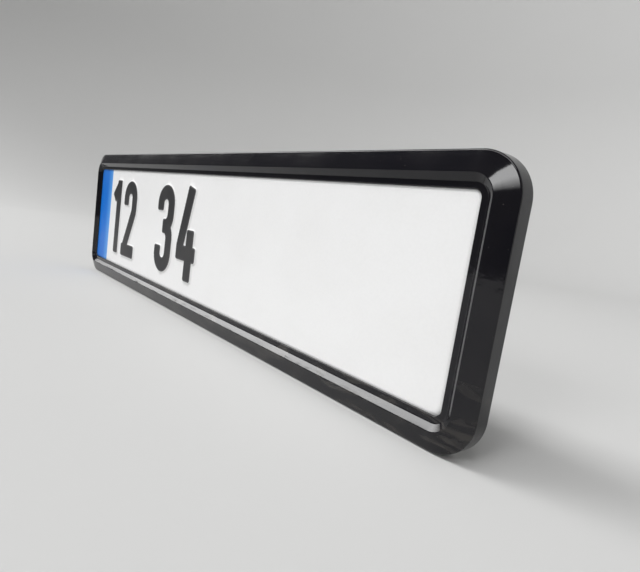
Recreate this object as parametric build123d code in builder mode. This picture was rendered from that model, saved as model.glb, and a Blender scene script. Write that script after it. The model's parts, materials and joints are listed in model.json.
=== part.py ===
# Number plate holder: a gloss black moulding with a broad sloping rim, and the pressed plate that it holds.
# X runs along the plate, Z is up and the front faces -Y.
# The origin is the centre of the flat back that lies on the car, and depths are measured forward from that back.
import os

from build123d import *

# Plate, in millimetres
plate_width = 520.0
plate_height = 110.0
plate_thickness = 1.0
plate_corner_radius = 8.0

# Lip and pocket that hold the plate
lip_overlap = 1.5
lip_thickness = 1.0
lip_edge_radius = 0.7
opening_corner_radius = 4.0
edge_clearance = 0.3
plate_slack = 0.2
plate_front_depth = 9.4

# Rim, measured outward from the opening's edge and forward from the face of the plate
crest_offset = 7.1
crest_rise = 4.0
crest_radius = 0.6
bevel_run = 3.6
bevel_foot_radius = 1.0
rim_width = 18.1
rim_edge_rise = 0.15
rim_edge_radius = 1.2
skirt_draft = 0.4
wall = 2.2

# Back panel with its fixing slots
panel_thickness = 2.0
slot_length = 24.0
slot_width = 6.5
slot_spacing_x = 260.0
slot_spacing_z = 60.0
slot_pad_margin = 4.0
slot_pad_height = 1.5

# Ribs behind the plate, and the drain slot in each bay between them
rib_thickness = 1.6
slot_bay = 52.0
drain_length = 18.0
drain_width = 4.0
drain_inset = 1.0

# Webs across the hollow of the rim
web_thickness = 1.6
web_recess = 1.5
web_pitch = 43.0
web_count_long = 12
web_count_short = 3

# Sizes that follow from those above
opening_width = plate_width - 2 * lip_overlap
opening_height = plate_height - 2 * lip_overlap
pocket_offset = lip_overlap + edge_clearance
pocket_width = plate_width + 2 * edge_clearance
pocket_height = plate_height + 2 * edge_clearance
pocket_corner_radius = opening_corner_radius + pocket_offset
lip_front_depth = plate_front_depth + lip_thickness
crest_depth = plate_front_depth + crest_rise
rim_edge_depth = plate_front_depth + rim_edge_rise
base_offset = rim_width + skirt_draft
rib_top_depth = plate_front_depth - plate_thickness - plate_slack

# Corners of the rim section: first number outward from the opening's edge, second forward from the back
bevel_foot = (crest_offset - bevel_run, lip_front_depth)
crest = (crest_offset, crest_depth)
rim_edge = (rim_width, rim_edge_depth)
base = (base_offset, 0)

# Plane of that section, across the middle of the lower rail
section_plane = Plane(origin=(0, 0, -opening_height / 2), x_dir=(0, 0, -1), z_dir=(-1, 0, 0))

# Edge of the opening, which the section follows round
with BuildLine(Plane.XZ) as opening_edge:
    FilletPolyline(
        (0, -opening_height / 2),
        (opening_width / 2, -opening_height / 2),
        (opening_width / 2, opening_height / 2),
        (0, opening_height / 2),
        radius=opening_corner_radius,
    )
    mirror(about=Plane.YZ)

# Rim without its lip, carried past the back by one wall so that what is set in from it opens there
rim_block = [
    (pocket_offset, -wall),
    (pocket_offset, lip_front_depth),
    bevel_foot,
    crest,
    rim_edge,
    (base_offset + skirt_draft * wall / rim_edge_depth, -wall),
]

with BuildSketch(section_plane) as rim_hollow:
    Polygon(*rim_block, align=None)
    offset(amount=-wall, kind=Kind.INTERSECTION, mode=Mode.REPLACE)

# The webs are set in by half a wall, so that their edges root in the walls
with BuildSketch(section_plane) as web_section:
    Polygon(*rim_block, align=None)
    offset(amount=-wall / 2, kind=Kind.INTERSECTION, mode=Mode.REPLACE)

with BuildSketch(section_plane) as rim_section:
    with BuildLine():
        FilletPolyline(
            (0, plate_front_depth),
            (0, lip_front_depth),
            bevel_foot,
            crest,
            rim_edge,
            base,
            radius=[lip_edge_radius, bevel_foot_radius, crest_radius, rim_edge_radius],
        )
        Polyline(base, (pocket_offset, 0), (pocket_offset, plate_front_depth), (0, plate_front_depth))
    make_face()
    add(rim_hollow.sketch_local, mode=Mode.SUBTRACT)

# Webs: straight blanks across the rails, cut to the inside of the rim
rail_middle = (pocket_offset + base_offset) / 2
rail_width = base_offset - pocket_offset
with BuildPart() as web_blanks:
    with BuildSketch(Plane.XZ.offset(web_recess)):
        with GridLocations(web_pitch, opening_height + 2 * rail_middle, web_count_long, 2):
            Rectangle(web_thickness, rail_width)
        with GridLocations(opening_width + 2 * rail_middle, web_pitch, 2, web_count_short):
            Rectangle(rail_width, web_thickness)
    extrude(amount=crest_depth)

with BuildPart() as rim_webs:
    sweep(sections=web_section.sketch, path=opening_edge.wire())
    add(web_blanks.part, mode=Mode.INTERSECT)

# Ribs stand at both sides of each slot, in the middle and halfway to each end, and make bays that drain below
inner_rib = slot_spacing_x / 2 - slot_bay / 2
outer_rib = slot_spacing_x / 2 + slot_bay / 2
end_rib = (outer_rib + pocket_width / 2) / 2
rib_columns = [-end_rib, -outer_rib, -inner_rib, 0, inner_rib, outer_rib, end_rib]
bay_edges = [-pocket_width / 2, *rib_columns, pocket_width / 2]
drain_columns = [(left + right) / 2 for left, right in zip(bay_edges, bay_edges[1:])]
drain_row = -pocket_height / 2 + drain_inset + drain_width / 2

# Holder: rim, back panel, ribs and webs in one moulding
with BuildPart() as plate_holder:
    sweep(sections=rim_section.sketch, path=opening_edge.wire())
    with BuildSketch(Plane.XZ):
        RectangleRounded(pocket_width + wall, pocket_height + wall, pocket_corner_radius + wall / 2)
    extrude(amount=panel_thickness)
    with BuildSketch(Plane.XZ.offset(panel_thickness)):
        with GridLocations(slot_spacing_x, slot_spacing_z, 2, 2):
            SlotOverall(slot_length + 2 * slot_pad_margin, slot_width + 2 * slot_pad_margin)
    extrude(amount=slot_pad_height)
    with BuildSketch(Plane.XZ.offset(panel_thickness)):
        with Locations(*[(column, 0) for column in rib_columns]):
            Rectangle(rib_thickness, pocket_height + wall)
    extrude(amount=rib_top_depth - panel_thickness)
    add(rim_webs.part)
    with BuildSketch(Plane.XZ):
        with GridLocations(slot_spacing_x, slot_spacing_z, 2, 2):
            SlotOverall(slot_length, slot_width)
        with Locations(*[(column, drain_row) for column in drain_columns]):
            SlotOverall(drain_length, drain_width)
    extrude(amount=panel_thickness + slot_pad_height, mode=Mode.SUBTRACT)

plate_holder.part.label = "plate_holder"

# Plate: a sheet with rounded corners that lies under the lip
with BuildPart() as number_plate:
    with BuildSketch(Plane.XZ.offset(plate_front_depth - plate_thickness)):
        RectangleRounded(plate_width, plate_height, plate_corner_radius)
    extrude(amount=plate_thickness)

number_plate.part.label = "number_plate"

os.makedirs("parts", exist_ok=True)
export_step(plate_holder.part, "parts/plate_holder.step")
export_step(number_plate.part, "parts/number_plate.step")
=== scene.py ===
import json
import math

import bpy
from mathutils import Matrix, Vector


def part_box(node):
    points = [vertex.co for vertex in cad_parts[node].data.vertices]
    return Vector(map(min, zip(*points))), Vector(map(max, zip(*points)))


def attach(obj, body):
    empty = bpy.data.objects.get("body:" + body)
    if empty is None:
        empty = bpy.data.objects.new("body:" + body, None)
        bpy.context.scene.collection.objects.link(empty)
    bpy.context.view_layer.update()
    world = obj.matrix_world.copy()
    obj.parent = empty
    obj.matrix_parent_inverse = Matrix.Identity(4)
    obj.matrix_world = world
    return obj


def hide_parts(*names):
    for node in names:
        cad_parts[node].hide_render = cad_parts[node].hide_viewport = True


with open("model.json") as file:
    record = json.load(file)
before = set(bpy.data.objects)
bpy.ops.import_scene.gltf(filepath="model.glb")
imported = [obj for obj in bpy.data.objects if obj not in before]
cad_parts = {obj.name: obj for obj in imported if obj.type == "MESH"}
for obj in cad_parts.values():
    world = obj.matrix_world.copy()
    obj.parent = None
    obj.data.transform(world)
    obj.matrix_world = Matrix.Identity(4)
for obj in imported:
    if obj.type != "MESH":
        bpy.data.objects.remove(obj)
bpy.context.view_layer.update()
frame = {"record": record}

# Holder
# One injection moulding in gloss black plastic: a broad sloping rim with a narrow lip over the plate's edge,
# hollow behind and stiffened by webs, round a back panel with ribs, drain slots and four fixing slots.
# It is screwed on through the fixing slots, and then the plate is sprung in under the lip.
mm = 0.001

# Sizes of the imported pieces: X runs along the plate, Z is up, the front faces -Y and the back is at y = 0
plate_low, plate_high = (Vector(corner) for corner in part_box("number_plate"))
holder_low, holder_high = (Vector(corner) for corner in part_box("plate_holder"))
plate_width = plate_high.x - plate_low.x
plate_height = plate_high.z - plate_low.z
plate_front_depth = -plate_low.y
plate_thickness = plate_high.y - plate_low.y
fixing_sizes = frame["record"]["mounts"][0]["dims"]
slot_spacing_x = fixing_sizes["spacing_x_mm"] * mm
slot_spacing_z = fixing_sizes["spacing_y_mm"] * mm

# Lip and rim
lip_overlap = 1.5 * mm
lip_thickness = 1.0 * mm
lip_edge_radius = 0.7 * mm
edge_clearance = 0.3 * mm
opening_corner_radius = 4.0 * mm
crest_offset = 7.1 * mm
crest_rise = 4.0 * mm
crest_radius = 0.6 * mm
bevel_run = 3.6 * mm
bevel_foot_radius = 1.0 * mm
rim_width = 18.1 * mm
rim_edge_rise = 0.15 * mm
rim_edge_radius = 1.2 * mm
wall = 2.2 * mm
mould_radius = 0.2 * mm

# Back panel with its slots, ribs, drains and webs
panel_thickness = 2.0 * mm
slot_length = 24.0 * mm
slot_width = 6.5 * mm
slot_pad_margin = 4.0 * mm
slot_pad_height = 1.5 * mm
slot_bay = 52.0 * mm
rib_thickness = 1.6 * mm
rib_gap = 0.2 * mm
drain_length = 18.0 * mm
drain_width = 4.0 * mm
drain_inset = 1.0 * mm
web_thickness = 1.6 * mm
web_recess = 1.5 * mm
web_pitch = 43.0 * mm
web_count_long = 12
web_count_short = 3

# Steps that make up each round corner
section_corner_steps = 6
opening_corner_steps = 20
panel_corner_steps = 8
slot_end_steps = 12
drain_end_steps = 8

# Sizes that follow from those above
opening_width = plate_width - 2 * lip_overlap
opening_height = plate_height - 2 * lip_overlap
pocket_offset = lip_overlap + edge_clearance
pocket_width = plate_width + 2 * edge_clearance
pocket_height = plate_height + 2 * edge_clearance
lip_front_depth = plate_front_depth + lip_thickness
rim_edge_depth = plate_front_depth + rim_edge_rise
base_offset = (holder_high.x - holder_low.x - opening_width) / 2
draft_past_back = (base_offset - rim_width) * wall / rim_edge_depth
bevel_foot = (crest_offset - bevel_run, lip_front_depth)
crest = (crest_offset, plate_front_depth + crest_rise)
rim_edge = (rim_width, rim_edge_depth)
rib_top_depth = plate_front_depth - plate_thickness - rib_gap
pad_length = slot_length + 2 * slot_pad_margin
pad_width = slot_width + 2 * slot_pad_margin
pad_top_depth = panel_thickness + slot_pad_height

# Rim without its lip, carried past the back by one wall so that what is set in from it opens there
rim_block = [
    (pocket_offset, -wall),
    (pocket_offset, lip_front_depth),
    bevel_foot,
    crest,
    rim_edge,
    (base_offset + draft_past_back, -wall),
]


def set_in(outline, distance):
    """The corners of a clockwise outline after each of its sides has moved in by the distance."""
    corners = []
    for before, corner, after in zip(outline[-1:] + outline[:-1], outline, outline[1:] + outline[:1]):
        first = (Vector(corner) - Vector(before)).normalized()
        second = (Vector(after) - Vector(corner)).normalized()
        inward_first = Vector((first.y, -first.x))
        inward_second = Vector((second.y, -second.x))
        across = inward_first + inward_second
        corners.append(tuple(Vector(corner) + across * (2 * distance / across.length_squared)))
    return corners


def curve_object(name, lines, cyclic):
    """A curve of straight lines, where each point is x, y and the corner radius that rides on it."""
    curve = bpy.data.curves.new(name, "CURVE")
    curve.dimensions = "3D"
    for line in lines:
        spline = curve.splines.new("POLY")
        spline.points.add(len(line) - 1)
        spline.use_cyclic_u = cyclic
        for point, (x, y, radius) in zip(spline.points, line):
            point.co = (x, y, 0, 1)
            point.radius = radius
    made = bpy.data.objects.new(name, curve)
    bpy.context.collection.objects.link(made)
    return made


def points_object(name, places):
    """Loose points for Geometry Nodes to set pieces on."""
    mesh = bpy.data.meshes.new(name)
    mesh.from_pydata([(x, y, 0) for x, y in places], [], [])
    made = bpy.data.objects.new(name, mesh)
    bpy.context.collection.objects.link(made)
    return made


# The section runs from the lip over the crest to the back, and returns through the hollow and the pocket
hollow = set_in(rim_block, wall)
hollow_left, hollow_right = hollow[0], hollow[-1]
show_corners = [
    (0, plate_front_depth, mould_radius),
    (0, lip_front_depth, lip_edge_radius),
    (*bevel_foot, bevel_foot_radius),
    (*crest, crest_radius),
    (*rim_edge, rim_edge_radius),
    (base_offset, 0, mould_radius),
]
hidden_corners = [(u, d, mould_radius) for u, d in [(hollow_right[0], 0), *reversed(hollow[1:-1])]]
hidden_corners += [
    (hollow_left[0], 0, mould_radius),
    (pocket_offset, 0, mould_radius),
    (pocket_offset, plate_front_depth, mould_radius),
]
section_corners = show_corners + hidden_corners
rim_section = curve_object("rim_section", [[(u, -d, r) for u, d, r in section_corners]], True)

# The webs are set in by half a wall, so that their edges root in the walls
web_outline = set_in(rim_block, wall / 2)
web_low = [(web_outline[-1][0], web_recess), (web_outline[0][0], web_recess)]
web_corners = web_low + web_outline[1:-1]
web_section = curve_object("web_section", [[(u, d, 0) for u, d in web_corners]], True)

# Ribs stand at both sides of each slot, in the middle and halfway to each end, and make bays that drain below
inner_rib = (slot_spacing_x - slot_bay) / 2
outer_rib = (slot_spacing_x + slot_bay) / 2
end_rib = (outer_rib + pocket_width / 2) / 2
rib_columns = [-end_rib, -outer_rib, -inner_rib, 0, inner_rib, outer_rib, end_rib]
bay_edges = [-pocket_width / 2, *rib_columns, pocket_width / 2]
drain_row = -pocket_height / 2 + drain_inset + drain_width / 2
rib_places = points_object("rib_places", [(column, 0) for column in rib_columns])
drain_places = points_object(
    "drain_places", [((left + right) / 2, drain_row) for left, right in zip(bay_edges, bay_edges[1:])]
)


def feed(tree, node, inputs):
    """Set or link the inputs of a node, where a list is linked to one input in its order."""
    for key, value in inputs.items():
        for one in value if isinstance(value, list) else [value]:
            if isinstance(one, bpy.types.NodeSocket):
                tree.links.new(one, node.inputs[key])
            else:
                node.inputs[key].default_value = one


def linked(tree, kind, output, inputs=None, **settings):
    """One output of a new node, with its settings and its inputs."""
    made = tree.nodes.new(kind)
    for key, value in settings.items():
        setattr(made, key, value)
    feed(tree, made, inputs or {})
    return made.outputs[output]


def maths(tree, operation, *values, **settings):
    """The result of a Math node on the values."""
    return linked(tree, "ShaderNodeMath", "Value", dict(enumerate(values)), operation=operation, **settings)


def vector(tree, **parts):
    """A vector from those of its X, Y and Z that aren't 0."""
    return linked(tree, "ShaderNodeCombineXYZ", "Vector", parts)


def moved(tree, geometry, **place):
    """The geometry after a Translation, a Rotation or a Scale."""
    return linked(tree, "GeometryNodeTransform", "Geometry", {"Geometry": geometry, **place})


def carrying(tree, geometry, label, value):
    """The geometry with a named value on each of its points."""
    inputs = {"Geometry": geometry, "Name": label, "Value": value}
    return linked(tree, "GeometryNodeStoreNamedAttribute", "Geometry", inputs)


def rounded(tree, curve, radius, steps):
    """The curve with its corners rounded."""
    inputs = {"Curve": curve, "Radius": radius, "Count": steps, "Limit Radius": True}
    return linked(tree, "GeometryNodeFilletCurve", "Curve", inputs, mode="POLY")


def rounded_by_points(tree, curve, steps):
    """The curve with each corner rounded by the radius that rides on its point."""
    bent = rounded(tree, curve, linked(tree, "GeometryNodeInputRadius", "Radius"), steps)
    return linked(tree, "GeometryNodeSetCurveRadius", "Curve", {"Curve": bent, "Radius": 1.0})


def rectangle(tree, width, height):
    """A closed outline about the middle."""
    inputs = {"Width": width, "Height": height}
    return linked(tree, "GeometryNodeCurvePrimitiveQuadrilateral", "Curve", inputs)


def slab(tree, outline, low, high):
    """A closed solid between two heights over a flat outline."""
    seam = 0.001 * mm
    face = linked(tree, "GeometryNodeFillCurve", "Mesh", {"Curve": outline}, mode="NGONS")
    inputs = {"Mesh": face, "Offset Scale": high - low, "Individual": False}
    top = linked(tree, "GeometryNodeExtrudeMesh", "Mesh", inputs)
    bottom = linked(tree, "GeometryNodeFlipFaces", "Mesh", {"Mesh": face})
    both = linked(tree, "GeometryNodeJoinGeometry", "Geometry", {"Geometry": [top, bottom]})
    closed = linked(tree, "GeometryNodeMergeByDistance", "Geometry", {"Geometry": both, "Distance": seam})
    return moved(tree, closed, Translation=(0, 0, low))


def set_on(tree, points, solid):
    """One copy of the solid on each point, as real geometry."""
    inputs = {"Points": points, "Instance": solid}
    copies = linked(tree, "GeometryNodeInstanceOnPoints", "Instances", inputs)
    return linked(tree, "GeometryNodeRealizeInstances", "Geometry", {"Geometry": copies})


def new_geometry_tree(name, sizes, objects):
    """A Geometry Nodes tree with named inputs, together with what it is given and its end."""
    tree = bpy.data.node_groups.new(name, "GeometryNodeTree")
    tree.interface.new_socket("Geometry", in_out="INPUT", socket_type="NodeSocketGeometry")
    for label in sizes:
        tree.interface.new_socket(label, in_out="INPUT", socket_type="NodeSocketFloat")
    for label in objects:
        tree.interface.new_socket(label, in_out="INPUT", socket_type="NodeSocketObject")
    tree.interface.new_socket("Material", in_out="INPUT", socket_type="NodeSocketMaterial")
    tree.interface.new_socket("Geometry", in_out="OUTPUT", socket_type="NodeSocketGeometry")
    return tree, tree.nodes.new("NodeGroupInput").outputs, tree.nodes.new("NodeGroupOutput")


def geometry_of(tree, helper):
    """The geometry of a helper object that the tree is given."""
    return linked(tree, "GeometryNodeObjectInfo", "Geometry", {"Object": helper})


def end_tree(tree, end, geometry, material):
    """The end of a tree: smooth faces, real geometry and the material."""
    smooth = linked(tree, "GeometryNodeSetShadeSmooth", "Geometry", {"Geometry": geometry})
    realized = linked(tree, "GeometryNodeRealizeInstances", "Geometry", {"Geometry": smooth})
    inputs = {"Geometry": realized, "Material": material}
    finished = linked(tree, "GeometryNodeSetMaterial", "Geometry", inputs)
    feed(tree, end, {"Geometry": finished})


def made_by_nodes(name, start_mesh, tree, values):
    """A plain mesh object from a start mesh and a tree whose inputs take the named values."""
    made = bpy.data.objects.new(name, start_mesh)
    bpy.context.collection.objects.link(made)
    modifier = made.modifiers.new(tree.name, "NODES")
    modifier.node_group = tree
    for item in tree.interface.items_tree:
        if item.in_out == "INPUT" and item.name in values:
            modifier[item.identifier] = values[item.name]
    bpy.context.view_layer.update()
    shown = made.evaluated_get(bpy.context.evaluated_depsgraph_get())
    finished = bpy.data.meshes.new_from_object(shown)
    made.modifiers.clear()
    made.data = finished
    finished.name = name
    return made


quarter_turn = math.pi / 2
moulding, moulding_given, moulding_end = new_geometry_tree(
    "moulded_holder",
    [
        "Opening Width",
        "Opening Height",
        "Opening Corner Radius",
        "Web Pitch",
        "Slot Spacing X",
        "Slot Spacing Z",
    ],
    ["Rim Section", "Web Section", "Rib Places", "Drain Places"],
)

# Rim: the section swept round the edge of the opening
opening_edge = rounded(
    moulding,
    rectangle(moulding, moulding_given["Opening Width"], moulding_given["Opening Height"]),
    moulding_given["Opening Corner Radius"],
    opening_corner_steps,
)
along = linked(moulding, "GeometryNodeSplineParameter", "Length")
opening_edge = carrying(moulding, opening_edge, "along", along)

# The section's first corners show; Compare takes whole numbers in its sockets 2 and 3, and others in 0 and 1
is_show = linked(
    moulding,
    "FunctionNodeCompare",
    "Result",
    {2: linked(moulding, "GeometryNodeInputIndex", "Index"), 3: len(show_corners)},
    data_type="INT",
    operation="LESS_THAN",
)
section = carrying(moulding, geometry_of(moulding, moulding_given["Rim Section"]), "show", is_show)
section = rounded_by_points(moulding, section, section_corner_steps)
across = linked(moulding, "GeometryNodeSplineParameter", "Length")
section = carrying(moulding, section, "across", across)
rim = linked(
    moulding, "GeometryNodeCurveToMesh", "Mesh", {"Curve": opening_edge, "Profile Curve": section}
)

# Back panel with its pads and ribs
panel_edge = rectangle(moulding, pocket_width + wall, pocket_height + wall)
panel_corner_radius = opening_corner_radius + pocket_offset + wall / 2
panel_outline = rounded(moulding, panel_edge, panel_corner_radius, panel_corner_steps)
panel = slab(moulding, panel_outline, 0, panel_thickness)
slot_places = linked(
    moulding,
    "GeometryNodeMeshGrid",
    "Mesh",
    {
        "Size X": moulding_given["Slot Spacing X"],
        "Size Y": moulding_given["Slot Spacing Z"],
        "Vertices X": 2,
        "Vertices Y": 2,
    },
)
pad_outline = rounded(moulding, rectangle(moulding, pad_length, pad_width), pad_width / 2, slot_end_steps)
pads = set_on(moulding, slot_places, slab(moulding, pad_outline, panel_thickness / 2, pad_top_depth))
rib_outline = rectangle(moulding, rib_thickness, pocket_height + wall)
rib = slab(moulding, rib_outline, panel_thickness / 2, rib_top_depth)
ribs = set_on(moulding, geometry_of(moulding, moulding_given["Rib Places"]), rib)

# Webs: one across each rail, repeated along it and turned to the four sides
web_blank = slab(
    moulding, geometry_of(moulding, moulding_given["Web Section"]), -web_thickness / 2, web_thickness / 2
)
upright_web = moved(moulding, web_blank, Rotation=(quarter_turn, 0, -quarter_turn))
long_rail = (web_count_long, moulding_given["Opening Height"])
short_rail = (web_count_short, moulding_given["Opening Width"])
web_rows = []
for side_number, (count, reach) in enumerate([long_rail, short_rail, long_rail, short_rail]):
    half_row = maths(moulding, "MULTIPLY", moulding_given["Web Pitch"], -(count - 1) / 2)
    half_reach = maths(moulding, "MULTIPLY", reach, -1 / 2)
    row_places = linked(
        moulding,
        "GeometryNodeMeshLine",
        "Mesh",
        {
            "Count": count,
            "Start Location": vector(moulding, X=half_row, Y=half_reach),
            "Offset": vector(moulding, X=moulding_given["Web Pitch"]),
        },
    )
    row = set_on(moulding, row_places, upright_web)
    web_rows.append(moved(moulding, row, Rotation=(0, 0, side_number * quarter_turn)))

# All of it fused in one moulding, with the slots cut through
cut_margin = 1.0 * mm
cut_low = -cut_margin
cut_high = pad_top_depth + cut_margin
fused = linked(
    moulding,
    "GeometryNodeMeshBoolean",
    "Mesh",
    {"Mesh 2": [rim, panel, pads, ribs, *web_rows]},
    operation="UNION",
    solver="EXACT",
)
slot_outline = rounded(moulding, rectangle(moulding, slot_length, slot_width), slot_width / 2, slot_end_steps)
slots = set_on(moulding, slot_places, slab(moulding, slot_outline, cut_low, cut_high))
drain_edge = rectangle(moulding, drain_length, drain_width)
drain_outline = rounded(moulding, drain_edge, drain_width / 2, drain_end_steps)
drain = slab(moulding, drain_outline, cut_low, cut_high)
drains = set_on(moulding, geometry_of(moulding, moulding_given["Drain Places"]), drain)
pierced = linked(
    moulding,
    "GeometryNodeMeshBoolean",
    "Mesh",
    {"Mesh 1": fused, "Mesh 2": [slots, drains]},
    operation="DIFFERENCE",
    solver="EXACT",
)

# The fusing drops some of what the rim's points carry, so each point takes it again from the rim
same_place = 0.01 * mm
rim_point = linked(moulding, "GeometryNodeSampleNearest", "Index", {"Geometry": rim}, domain="POINT")
rim_gap = linked(moulding, "GeometryNodeProximity", "Distance", {"Geometry": rim}, target_element="POINTS")
on_rim = linked(
    moulding,
    "FunctionNodeCompare",
    "Result",
    {0: rim_gap, 1: same_place},
    data_type="FLOAT",
    operation="LESS_THAN",
)
for label in ("along", "across", "show"):
    rim_value = linked(
        moulding, "GeometryNodeInputNamedAttribute", "Attribute", {"Name": label}, data_type="FLOAT"
    )
    point_value = linked(
        moulding,
        "GeometryNodeSampleIndex",
        "Value",
        {"Geometry": rim, "Value": rim_value, "Index": rim_point},
        data_type="FLOAT",
        domain="POINT",
    )
    pierced = carrying(moulding, pierced, label, maths(moulding, "MULTIPLY", point_value, on_rim))
upright = moved(moulding, pierced, Rotation=(quarter_turn, 0, 0))
end_tree(moulding, moulding_end, upright, moulding_given["Material"])


def new_material(name):
    """A material with its node tree and its shader."""
    made = bpy.data.materials.new(name)
    made.use_nodes = True
    return made, made.node_tree, made.node_tree.nodes["Principled BSDF"]


def mixed(tree, factor, first, second):
    """A blend from the first colour to the second, which a Mix node takes in its sockets 6 and 7."""
    return linked(tree, "ShaderNodeMix", 2, {0: factor, 6: first, 7: second}, data_type="RGBA")


def between(tree, factor, first, second):
    """A blend from the first number to the second, which a Mix node takes in its sockets 2 and 3."""
    return linked(tree, "ShaderNodeMix", 0, {0: factor, 2: first, 3: second}, data_type="FLOAT")


def ramp(tree, value, start, stop, low=0.0, high=1.0, **settings):
    """A number that goes from low to high while the value goes from the start to the stop."""
    inputs = {"Value": value, "From Min": start, "From Max": stop, "To Min": low, "To Max": high}
    return linked(tree, "ShaderNodeMapRange", "Result", inputs, **settings)


def noise(tree, place, scale, detail, distortion=0.0):
    """A soft cloud from 0 to 1."""
    inputs = {"Vector": place, "Scale": scale, "Detail": detail, "Distortion": distortion}
    return linked(tree, "ShaderNodeTexNoise", "Fac", inputs)


def stretched(tree, place, scale):
    """The place with a scale for each axis, for a cloud that is longer one way."""
    return linked(tree, "ShaderNodeMapping", "Vector", {"Vector": place, "Scale": scale})


def cells(tree, place, scale):
    """The distance to the middle of a small cell."""
    return linked(tree, "ShaderNodeTexVoronoi", "Distance", {"Vector": place, "Scale": scale})


def carried(tree, label):
    """A named value that the mesh carries on its points."""
    return linked(tree, "ShaderNodeAttribute", "Fac", attribute_name=label)


def part_of(tree, whole, axis):
    """The X, Y or Z of a vector."""
    return linked(tree, "ShaderNodeSeparateXYZ", axis, {"Vector": whole})


# Dust and finger marks, which lie on both pieces: a soft uneven film with a few fine specks
film_detail = 4.0
film_thin = 0.42
film_thick = 0.72
speck_edge = 0.10
speck_core = 0.04
speck_detail = 0.0
speck_none = 0.60
speck_full = 0.64

settled_film = bpy.data.node_groups.new("settled_film", "ShaderNodeTree")
for label in ("Patch Scale", "Speck Scale"):
    settled_film.interface.new_socket(label, in_out="INPUT", socket_type="NodeSocketFloat")
for label in ("Film", "Specks"):
    settled_film.interface.new_socket(label, in_out="OUTPUT", socket_type="NodeSocketFloat")
film_given = settled_film.nodes.new("NodeGroupInput").outputs
film_end = settled_film.nodes.new("NodeGroupOutput")
film_place = linked(settled_film, "ShaderNodeTexCoord", "Object")
film_cloud = noise(settled_film, film_place, film_given["Patch Scale"], film_detail)
speck_cells = cells(settled_film, film_place, film_given["Speck Scale"])
speck_spots = ramp(settled_film, speck_cells, speck_edge, speck_core)
speck_cloud = noise(settled_film, film_place, film_given["Speck Scale"], speck_detail)
speck_choice = ramp(settled_film, speck_cloud, speck_none, speck_full)
feed(
    settled_film,
    film_end,
    {
        "Film": ramp(settled_film, film_cloud, film_thin, film_thick),
        "Specks": maths(settled_film, "MULTIPLY", speck_spots, speck_choice),
    },
)


def film_on(tree, patch_scale, speck_scale):
    """The film and the specks on a piece, as two masks."""
    laid = tree.nodes.new("ShaderNodeGroup")
    laid.node_tree = settled_film
    feed(tree, laid, {"Patch Scale": patch_scale, "Speck Scale": speck_scale})
    return laid.outputs["Film"], laid.outputs["Specks"]


# Finish: polished where the rim shows, with faint waves and a few lighter smears low down that are partly
# painted reflection, and plain satin behind
show_colour = (0.0038, 0.0035, 0.0060, 1)
hidden_colour = (0.016, 0.016, 0.017, 1)
# Dust colour, which also paints the lighter smears low down that are partly painted reflection
dust_and_sheen_colour = (0.115, 0.105, 0.092, 1)
show_roughness = 0.055
filmed_roughness = 0.085
hidden_roughness = 0.40
plastic_gloss = 0.4
flow_scale = (18.0, 170.0, 1.0)
flow_detail = 2.0
peel_scale = 120.0
peel_detail = 1.0
wave_depth = 0.045 * mm
holder_patch_scale = 32.0
holder_speck_scale = 420.0
holder_film_share = 0.03
# Smears low down: lighter patches on the shown rim, partly finger marks and partly painted reflection
smear_and_sheen_scale = (32.0, 60.0, 120.0)
smear_and_sheen_detail = 3.0
smear_and_sheen_distortion = 1.2
smear_and_sheen_thin = 0.50
smear_and_sheen_thick = 0.64
smear_and_sheen_top = -20 * mm
smear_and_sheen_full = -60 * mm
smear_and_sheen_share = 0.26

gloss_black, holder_tree, holder_shader = new_material("gloss_black_plastic")
holder_place = linked(holder_tree, "ShaderNodeTexCoord", "Object")
show = carried(holder_tree, "show")
flow_place = vector(holder_tree, X=carried(holder_tree, "along"), Y=carried(holder_tree, "across"))
flow = noise(holder_tree, stretched(holder_tree, flow_place, flow_scale), 1.0, flow_detail)
peel = noise(holder_tree, holder_place, peel_scale, peel_detail)
waves = maths(holder_tree, "ADD", peel, flow)
wave_normal = linked(
    holder_tree, "ShaderNodeBump", "Normal", {"Height": waves, "Strength": 1.0, "Distance": wave_depth}
)
holder_film, holder_specks = film_on(holder_tree, holder_patch_scale, holder_speck_scale)
polished = between(holder_tree, holder_film, show_roughness, filmed_roughness)
holder_roughness = between(holder_tree, show, hidden_roughness, polished)
plastic_colour = mixed(holder_tree, show, hidden_colour, show_colour)
# Lighter smears growing toward the bottom: partly finger marks and partly painted reflection
smear_and_sheen_place = stretched(holder_tree, holder_place, smear_and_sheen_scale)
smear_and_sheen_cloud = noise(holder_tree, smear_and_sheen_place, 1.0, smear_and_sheen_detail, smear_and_sheen_distortion)
smears_and_sheen = ramp(holder_tree, smear_and_sheen_cloud, smear_and_sheen_thin, smear_and_sheen_thick)
shown_smears_and_sheen = maths(holder_tree, "MULTIPLY", smears_and_sheen, show)
low_smears_and_sheen = ramp(holder_tree, part_of(holder_tree, holder_place, "Z"), smear_and_sheen_top, smear_and_sheen_full, 0.0, smear_and_sheen_share)
holder_dust = maths(holder_tree, "MULTIPLY_ADD", holder_film, holder_film_share, holder_specks)
dust_smears_and_sheen = maths(holder_tree, "MULTIPLY_ADD", shown_smears_and_sheen, low_smears_and_sheen, holder_dust, use_clamp=True)
feed(
    holder_tree,
    holder_shader,
    {
        "Base Color": mixed(holder_tree, dust_smears_and_sheen, plastic_colour, dust_and_sheen_colour),
        "Roughness": holder_roughness,
        "Normal": wave_normal,
        "Specular IOR Level": plastic_gloss,
    },
)

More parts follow.
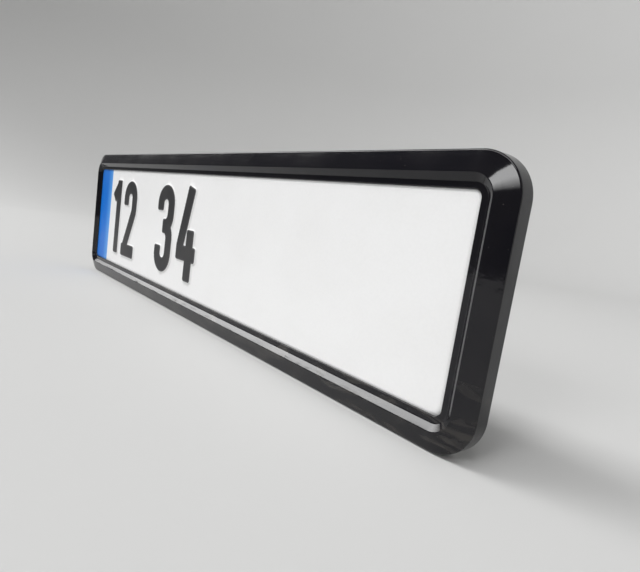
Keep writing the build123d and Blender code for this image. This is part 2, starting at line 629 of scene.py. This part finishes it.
sharp_edge_angle = math.radians(35)
large_face_weight = 100
holder = made_by_nodes(
    "holder_moulding",
    bpy.data.meshes.new("holder_start"),
    moulding,
    {
        "Opening Width": opening_width,
        "Opening Height": opening_height,
        "Opening Corner Radius": opening_corner_radius,
        "Web Pitch": web_pitch,
        "Slot Spacing X": slot_spacing_x,
        "Slot Spacing Z": slot_spacing_z,
        "Rim Section": rim_section,
        "Web Section": web_section,
        "Rib Places": rib_places,
        "Drain Places": drain_places,
        "Material": gloss_black,
    },
)
for helper in (rim_section, web_section, rib_places, drain_places):
    bpy.data.objects.remove(helper)
holder.data.set_sharp_from_angle(angle=sharp_edge_angle)
even_faces = holder.modifiers.new("even_faces", "WEIGHTED_NORMAL")
even_faces.mode = "FACE_AREA"
even_faces.weight = large_face_weight
even_faces.keep_sharp = True
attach(holder, "root")
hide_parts("plate_holder")

# Plate
# One aluminium sheet with a white reflective film and a blue band at its end, pressed from behind in a die.
# The raised figures are then rolled with ink, and the sheet is sprung in under the lip of the holder.
plate_corner_radius = 8.0 * mm
band_width = 38.0 * mm
figure_height = 82.0 * mm
figure_width = 36.0 * mm
figure_lift = 1.0 * mm
figure_centres = [-197 * mm, -157 * mm, -65 * mm, -17 * mm]
stroke_width = 13.0 * mm
stroke_edge_radius = 2.0 * mm
stroke_bend_steps = 12
press_height = 1.1 * mm
shoulder_width = 1.5 * mm
fine_step = 0.8 * mm
wide_step = 4.0 * mm

# Places on the middle lines of the strokes, from the middle of a figure
side = (figure_width - stroke_width) / 2
top = (figure_height - stroke_width) / 2
end_x = figure_width / 2 - stroke_edge_radius
end_z = figure_height / 2 - stroke_edge_radius
bowl_roundness = 0.98
bowl = side * bowl_roundness
one_stem = 4.0 * mm
one_flag_head = (3.0 * mm, 34.0 * mm)
one_flag_foot = (-9.0 * mm, 22.0 * mm)
two_hook = 17.0 * mm
two_neck = 9.0 * mm
two_neck_radius = 14.0 * mm
two_foot = (-10.5 * mm, -34.0 * mm)
three_hook = 19.0 * mm
three_waist = 2.5 * mm
three_waist_start = -2.0 * mm
four_head = 2.0 * mm
four_elbow = (-12.0 * mm, -13.0 * mm)
four_bar = -17.0 * mm
four_stem = 6.5 * mm
four_stem_top = 2.0 * mm

# The middle lines: each point is x, z and the radius of the bend there
one = [
    [(one_stem, -end_z, 0), (one_stem, end_z, 0)],
    [(*one_flag_head, 0), (*one_flag_foot, 0)],
]
two = [
    [
        (-side, two_hook, 0),
        (-side, top, bowl),
        (side, top, bowl),
        (side, two_neck, two_neck_radius),
        (*two_foot, 0),
    ],
    [(-end_x, -top, 0), (end_x, -top, 0)],
]
three = [
    [
        (-side, level * three_hook, 0),
        (-side, level * top, bowl),
        (side, level * top, bowl),
        (side, three_waist, bowl),
        (three_waist_start, three_waist, 0),
    ]
    for level in (1, -1)
]
four = [
    [(four_head, end_z, 0), (*four_elbow, 0)],
    [(-end_x, four_bar, 0), (end_x, four_bar, 0)],
    [(four_stem, four_stem_top, 0), (four_stem, -end_z, 0)],
]
figure_lines = [
    [(x + centre, z + figure_lift, radius) for x, z, radius in line]
    for figure, centre in zip((one, two, three, four), figure_centres)
    for line in figure
]
figure_strokes = curve_object("figure_strokes", figure_lines, False)


def stations(low, high, fine_spans):
    """Places along a side of the sheet: close together in the fine spans and far apart elsewhere."""
    places = [low]
    for start, stop in [*fine_spans, (high, high)]:
        for reach, step in ((start, wide_step), (stop, fine_step)):
            steps = math.ceil((reach - places[-1]) / step)
            first = places[-1]
            places += [first + (reach - first) * (k + 1) / steps for k in range(steps)]
    return places


def in_rounded_corner(x, z):
    """A point of the square sheet, drawn in where the sheet's corner is round."""
    inner_x = plate_width / 2 - plate_corner_radius
    inner_z = plate_height / 2 - plate_corner_radius
    over_x = abs(x) - inner_x
    over_z = abs(z) - inner_z
    if over_x <= 0 or over_z <= 0:
        return x, z
    draw = max(over_x, over_z) / math.hypot(over_x, over_z)
    return math.copysign(inner_x + over_x * draw, x), math.copysign(inner_z + over_z * draw, z)


# The sheet before it is pressed, as a net of faces that is fine under the figures
figure_reach = figure_width / 2 + shoulder_width
figure_spans = [
    (figure_centres[0] - figure_reach, figure_centres[1] + figure_reach),
    (figure_centres[2] - figure_reach, figure_centres[3] + figure_reach),
]
half_figure = figure_height / 2 + shoulder_width
columns = stations(plate_low.x, plate_high.x, figure_spans)
rows = stations(plate_low.z, plate_high.z, [(figure_lift - half_figure, figure_lift + half_figure)])
sheet_points = []
for z in rows:
    for x in columns:
        sheet_x, sheet_z = in_rounded_corner(x, z)
        sheet_points.append((sheet_x, plate_low.y, sheet_z))
sheet_faces = []
for row in range(len(rows) - 1):
    for column in range(len(columns) - 1):
        corner = row * len(columns) + column
        above = corner + len(columns)
        sheet_faces.append((corner, corner + 1, above + 1, above))
sheet_mesh = bpy.data.meshes.new("plate_start")
sheet_mesh.from_pydata(sheet_points, [], sheet_faces)

# Pressing: how far a point comes forward depends on how near it is to the core of a stroke
pressing, pressing_given, pressing_end = new_geometry_tree(
    "pressed_figures",
    ["Stroke Width", "Stroke Edge Radius", "Shoulder Width", "Press Height", "Face Depth"],
    ["Figure Strokes"],
)
bent_strokes = rounded_by_points(
    pressing, geometry_of(pressing, pressing_given["Figure Strokes"]), stroke_bend_steps
)
both_edges = maths(pressing, "MULTIPLY", pressing_given["Stroke Edge Radius"], 2.0)
core_width = maths(pressing, "SUBTRACT", pressing_given["Stroke Width"], both_edges)
unit_line = linked(
    pressing, "GeometryNodeCurvePrimitiveLine", "Curve", {"Start": (-1 / 2, 0, 0), "End": (1 / 2, 0, 0)}
)
core = moved(pressing, unit_line, Scale=vector(pressing, X=core_width, Y=1.0, Z=1.0))
ribbons = linked(
    pressing, "GeometryNodeCurveToMesh", "Mesh", {"Curve": bent_strokes, "Profile Curve": core}
)
face_place = vector(pressing, Y=pressing_given["Face Depth"])
ribbons = moved(pressing, ribbons, Rotation=(quarter_turn, 0, 0), Translation=face_place)
distance = linked(
    pressing, "GeometryNodeProximity", "Distance", {"Geometry": ribbons}, target_element="FACES"
)
shoulder_foot = maths(
    pressing, "ADD", pressing_given["Stroke Edge Radius"], pressing_given["Shoulder Width"]
)
rise = ramp(
    pressing,
    distance,
    pressing_given["Stroke Edge Radius"],
    shoulder_foot,
    pressing_given["Press Height"],
    0.0,
    interpolation_type="SMOOTHSTEP",
)
forward = vector(pressing, Y=maths(pressing, "MULTIPLY", rise, -1.0))
flat_sheet = carrying(pressing, pressing_given["Geometry"], "figure_distance", distance)
pressed = linked(
    pressing, "GeometryNodeSetPosition", "Geometry", {"Geometry": flat_sheet, "Offset": forward}
)
end_tree(pressing, pressing_end, pressed, pressing_given["Material"])

# Finish: white film with fine reflecting cells, a printed blue band whose inner part is lightened by painted
# glare, and ink on the tops of the figures
film_white = (0.86, 0.86, 0.86, 1)
film_cell_white = (0.84, 0.84, 0.84, 1)
film_cell_scale = 620.0
film_roughness = 0.30
film_gloss = 0.12
band_blue = (0.003, 0.16, 0.63, 1)
# Lighter blue toward the band's inner edge: painted glare
band_glare_blue = (0.09, 0.33, 0.78, 1)
band_glare_share = 0.45
print_edge = 0.12 * mm
ink_black = (0.035, 0.035, 0.037, 1)
# Lighter grey at the edges of the strokes: partly thinner ink and partly painted highlight
thin_ink_and_highlight = (0.10, 0.10, 0.104, 1)
ink_roughness = 0.36
ink_overlap = 0.35 * mm
edge_lightening_start = 0.6 * mm
grime_colour = (0.46, 0.44, 0.40, 1)
grime_share = 0.05
plate_patch_scale = 22.0
plate_speck_scale = 330.0

plate_sheet, plate_tree, plate_shader = new_material("plate_sheet")
plate_place = linked(plate_tree, "ShaderNodeTexCoord", "Object")
film_cells = cells(plate_tree, plate_place, film_cell_scale)
sheet_colour = mixed(plate_tree, film_cells, film_white, film_cell_white)
place_x = part_of(plate_tree, plate_place, "X")
band_end = plate_low.x + band_width
band_glare_start = band_end - band_width * band_glare_share
band = ramp(plate_tree, place_x, band_end + print_edge, band_end - print_edge)
# Painted glare: the band lightens over its inner part, toward the figures
band_painted_glare = ramp(plate_tree, place_x, band_glare_start, band_end, interpolation_type="SMOOTHSTEP")
band_colour_with_glare = mixed(plate_tree, band_painted_glare, band_blue, band_glare_blue)
printed_with_glare = mixed(plate_tree, band, sheet_colour, band_colour_with_glare)
ink_reach = stroke_edge_radius + ink_overlap
ink_distance = carried(plate_tree, "figure_distance")
ink = ramp(plate_tree, ink_distance, ink_reach + print_edge, ink_reach - print_edge)
# The ink lightens toward the stroke edges: partly thinner ink and partly painted highlight
ink_thinning_and_highlight = ramp(plate_tree, ink_distance, edge_lightening_start, ink_reach)
ink_colour = mixed(plate_tree, ink_thinning_and_highlight, ink_black, thin_ink_and_highlight)
inked = mixed(plate_tree, ink, printed_with_glare, ink_colour)
plate_film, plate_specks = film_on(plate_tree, plate_patch_scale, plate_speck_scale)
plate_dust = maths(plate_tree, "ADD", plate_film, plate_specks)
grimed = mixed(plate_tree, maths(plate_tree, "MULTIPLY", plate_dust, grime_share), inked, grime_colour)
sheet_roughness = between(plate_tree, ink, film_roughness, ink_roughness)

# The back, where the sheet's faces turn to +Y, is bare rolled metal
metal_grey = (0.60, 0.61, 0.62, 1)
metal_smooth = 0.30
metal_rough = 0.44
rolling_scale = (9.0, 9.0, 700.0)
rolling_detail = 3.0
back_turn = 0.3
back_edge = 0.1

turned = part_of(plate_tree, linked(plate_tree, "ShaderNodeTexCoord", "Normal"), "Y")
bare = ramp(plate_tree, turned, back_turn - back_edge, back_turn + back_edge)
rolling = noise(plate_tree, stretched(plate_tree, plate_place, rolling_scale), 1.0, rolling_detail)
metal_roughness = between(plate_tree, rolling, metal_smooth, metal_rough)
feed(
    plate_tree,
    plate_shader,
    {
        "Base Color": mixed(plate_tree, bare, grimed, metal_grey),
        "Roughness": between(plate_tree, bare, sheet_roughness, metal_roughness),
        "Metallic": bare,
        "Specular IOR Level": film_gloss,
    },
)

plate = made_by_nodes(
    "pressed_plate",
    sheet_mesh,
    pressing,
    {
        "Stroke Width": stroke_width,
        "Stroke Edge Radius": stroke_edge_radius,
        "Shoulder Width": shoulder_width,
        "Press Height": press_height,
        "Face Depth": plate_low.y,
        "Figure Strokes": figure_strokes,
        "Material": plate_sheet,
    },
)
bpy.data.objects.remove(figure_strokes)
sheet = plate.modifiers.new("sheet_thickness", "SOLIDIFY")
sheet.thickness = plate_thickness
sheet.offset = -1
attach(plate, "root")
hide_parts("number_plate")

# Studio
# A pale paper floor that turns up behind, and three soft lamps far off: a long box high at the left, one as
# high in front and a low one in front. The camera stands close to the right end, as in the photograph.
camera_place = Vector((0.3706, -0.2019, 0.0297))
camera_aim = Vector((0.1625, -0.0094, -0.0091))
camera_roll = math.radians(8.37)
camera_sensor = 36.0
camera_lens = 26.52
camera_near = 0.01
camera_data = bpy.data.cameras.new("photo_camera")
camera_data.sensor_width = camera_sensor
camera_data.lens = camera_lens
camera_data.clip_start = camera_near
camera = bpy.data.objects.new("photo_camera", camera_data)
camera.location = camera_place
looking = (camera_aim - camera_place).to_track_quat("-Z", "Y").to_matrix()
camera.rotation_euler = (looking @ Matrix.Rotation(camera_roll, 3, "Z")).to_euler()
bpy.context.collection.objects.link(camera)
bpy.context.scene.camera = camera

# The floor is a disc, and from wall_first to wall_last of its turn_steps it turns up in an arc to a wall
floor_level = holder_low.z
floor_middle = 0.25
floor_radius = 1.4
arc_radius = 0.9
arc_steps = 16
wall_height = 2.6
turn_steps = 96
wall_first = -4
wall_last = 49
paper_colour = (0.58, 0.58, 0.575, 1)
paper_roughness = 0.9
paper_gloss = 0.2

rings = [(floor_middle, 0), (floor_radius, 0)]
for step in range(1, arc_steps + 1):
    angle = quarter_turn * step / arc_steps
    rings.append((floor_radius + arc_radius * math.sin(angle), arc_radius * (1 - math.cos(angle))))
rings.append((floor_radius + arc_radius, wall_height))
floor_points = [(0, 0, floor_level)]
for radius, height in rings:
    for step in range(turn_steps):
        angle = 2 * math.pi * step / turn_steps
        floor_points.append((radius * math.cos(angle), radius * math.sin(angle), floor_level + height))
floor_faces = [(0, 1 + step, 1 + (step + 1) % turn_steps) for step in range(turn_steps)]
for ring in range(len(rings) - 1):
    steps = range(turn_steps) if ring == 0 else range(wall_first, wall_last)
    for step in steps:
        here = 1 + ring * turn_steps + step % turn_steps
        beside = 1 + ring * turn_steps + (step + 1) % turn_steps
        floor_faces.append((here, here + turn_steps, beside + turn_steps, beside))
floor_mesh = bpy.data.meshes.new("studio_floor")
floor_mesh.from_pydata(floor_points, [], floor_faces)
floor_mesh.shade_smooth()
floor = bpy.data.objects.new("studio_floor", floor_mesh)
bpy.context.collection.objects.link(floor)
pale_paper, paper_tree, paper_shader = new_material("pale_paper")
feed(
    paper_tree,
    paper_shader,
    {"Base Color": paper_colour, "Roughness": paper_roughness, "Specular IOR Level": paper_gloss},
)
floor_mesh.materials.append(pale_paper)

room_grey = 0.13
world = bpy.data.worlds.new("studio_room")
world.use_nodes = True
world.node_tree.nodes["Background"].inputs["Color"].default_value = (room_grey, room_grey, room_grey, 1)
bpy.context.scene.world = world

lamp_distance = 12.0


def softbox(name, centre, out, edge, width, height, radiance, fade=None):
    """A soft lamp that faces against out, with its width along the edge.

    A fade is an axis of the lamp, the places along it where it is dim and full, and its strength where dim.
    """
    light = bpy.data.lights.new(name, "AREA")
    light.shape = "RECTANGLE"
    light.size = width
    light.size_y = height
    light.energy = radiance * math.pi * width * height
    if fade:
        axis, dim_at, full_at, dimmest = fade
        light.use_nodes = True
        lamp = light.node_tree
        spot = linked(lamp, "ShaderNodeNewGeometry", "Parametric")
        strength = ramp(lamp, part_of(lamp, spot, axis), dim_at, full_at, dimmest)
        feed(lamp, lamp.nodes["Emission"], {"Strength": strength})
    made = bpy.data.objects.new(name, light)
    back = out.normalized()
    up = back.cross(edge.normalized())
    turned = Matrix((edge.normalized(), up, back)).transposed().to_4x4()
    made.matrix_world = Matrix.Translation(centre) @ turned
    made.visible_camera = False
    bpy.context.collection.objects.link(made)


def level_softbox(name, swing, rise, width, height, radiance, fade=None):
    """A soft lamp with level edges, swung to the right of straight ahead and raised above the level."""
    ahead = math.cos(rise)
    out = Vector((math.sin(swing) * ahead, -math.cos(swing) * ahead, math.sin(rise)))
    edge = Vector((math.cos(swing), math.sin(swing), 0))
    softbox(name, lamp_distance * out, out, edge, width, height, radiance, fade)


# Left box: its lower edge is tilted so that the lower bevel shows the lamp and the upper slope doesn't
edge_tilt = math.radians(53.0)
edge_swing = math.radians(50)
left_length = 11.5
left_height = 3.2
left_radiance = 11.0
left_fade = ("X", 0.05, 0.58, 0.15)
edge_ahead = Vector((0, -math.cos(edge_tilt), math.sin(edge_tilt)))
edge_above = Vector((0, math.sin(edge_tilt), math.cos(edge_tilt)))
edge_out = Vector((-math.sin(edge_swing), 0, 0)) + math.cos(edge_swing) * edge_ahead
edge_along = Vector((math.cos(edge_swing), 0, 0)) + math.sin(edge_swing) * edge_ahead
left_centre = lamp_distance * edge_out + edge_above * left_height / 2
softbox(
    "left_softbox", left_centre, edge_out, edge_along, left_length, left_height, left_radiance, left_fade
)

# Front box: low in front, for the highlight on the upper right corner, and fading downward
front_swing = math.radians(5)
front_rise = math.radians(26)
front_width = 3.8
front_height = 4.2
front_radiance = 10.5
front_fade = ("Y", 0.0, 0.55, 0.0)
level_softbox(
    "front_softbox", front_swing, front_rise, front_width, front_height, front_radiance, front_fade
)

# Upper box: beside the left box and as high, for the face of the plate and the shadow under the upper lip
upper_rise = math.radians(63.0)
upper_width = 11.0
upper_height = 3.0
upper_radiance = 7.2
level_softbox("upper_softbox", 0, upper_rise, upper_width, upper_height, upper_radiance)

bpy.context.scene.view_settings.view_transform = "Standard"
